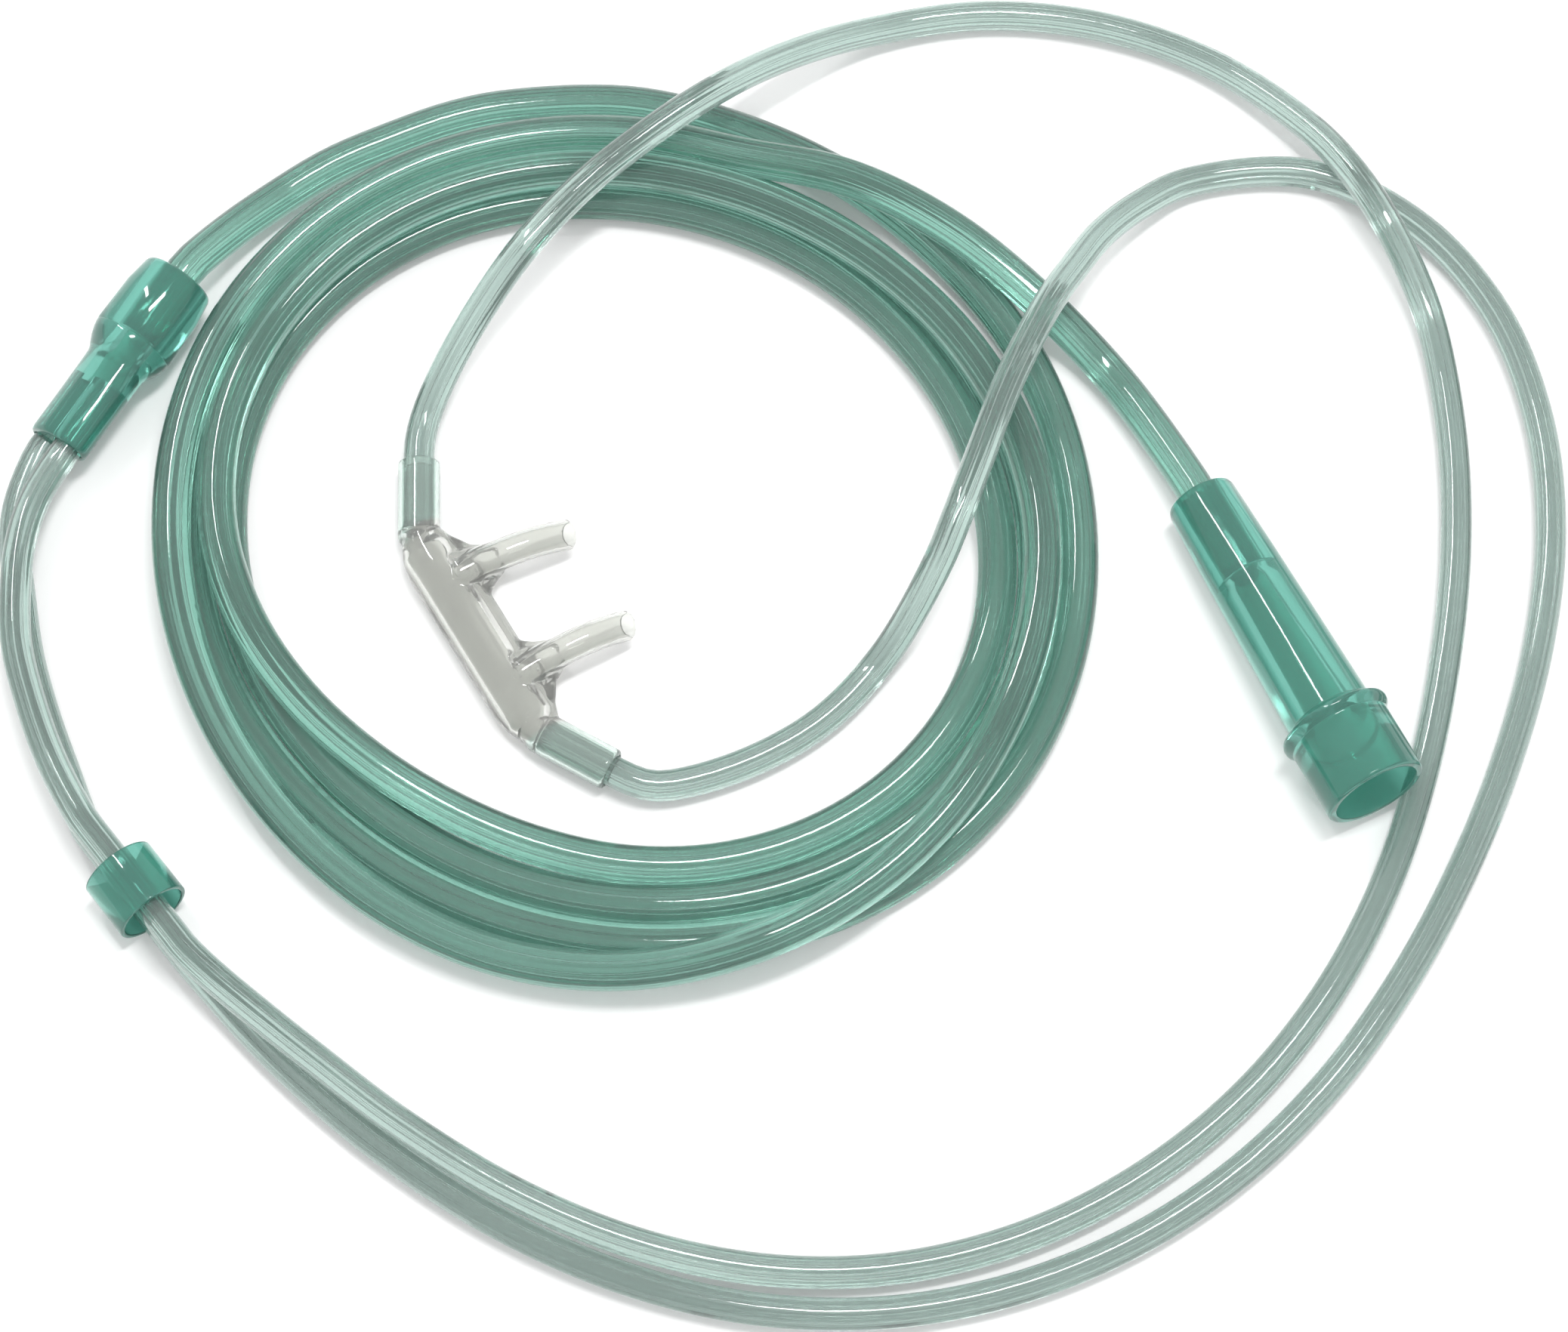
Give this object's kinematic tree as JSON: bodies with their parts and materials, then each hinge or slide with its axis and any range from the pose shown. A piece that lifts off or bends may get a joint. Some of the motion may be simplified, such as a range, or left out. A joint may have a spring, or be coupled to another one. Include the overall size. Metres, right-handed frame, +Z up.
{
  "type": "nasal oxygen cannula",
  "caption": "Nasal cannula: clear facepiece with two curved prongs, ear tubes through a sliding ring to a Y connector, and a coiled supply tube with a flared end connector.",
  "frame": {"origin": "on the table, under the middle of the box round the facepiece, Y connector, slider and supply connector", "axes": "+Z up from the table, +X from the Y connector towards the supply connector, +Y away from the viewer of the picture"},
  "size_m": [0.2506, 0.2268, 0.0193],
  "materials": {
    "clear_pvc": "soft clear PVC, glossy",
    "tube_pvc": "soft clear PVC with a pale green tint, glossy",
    "green_pvc": "soft translucent deep green PVC, glossy"
  },
  "bodies": {
    "tubing": {"facepiece": "clear_pvc", "y_connector": "green_pvc", "supply_connector": "green_pvc", "supply_tube_coil": "tube_pvc", "ear_tube_left": "tube_pvc", "ear_tube_right": "tube_pvc", "supply_tube_inlet": "tube_pvc", "supply_tube_outlet": "tube_pvc"},
    "slider": {"slider": "green_pvc"}
  },
  "joints": [
    {"name": "slider_slide", "type": "slide", "parent": "tubing", "child": "slider", "axis": [0.6225, -0.7826, 0], "range_m": [-0.006, 0.006]}
  ]
}
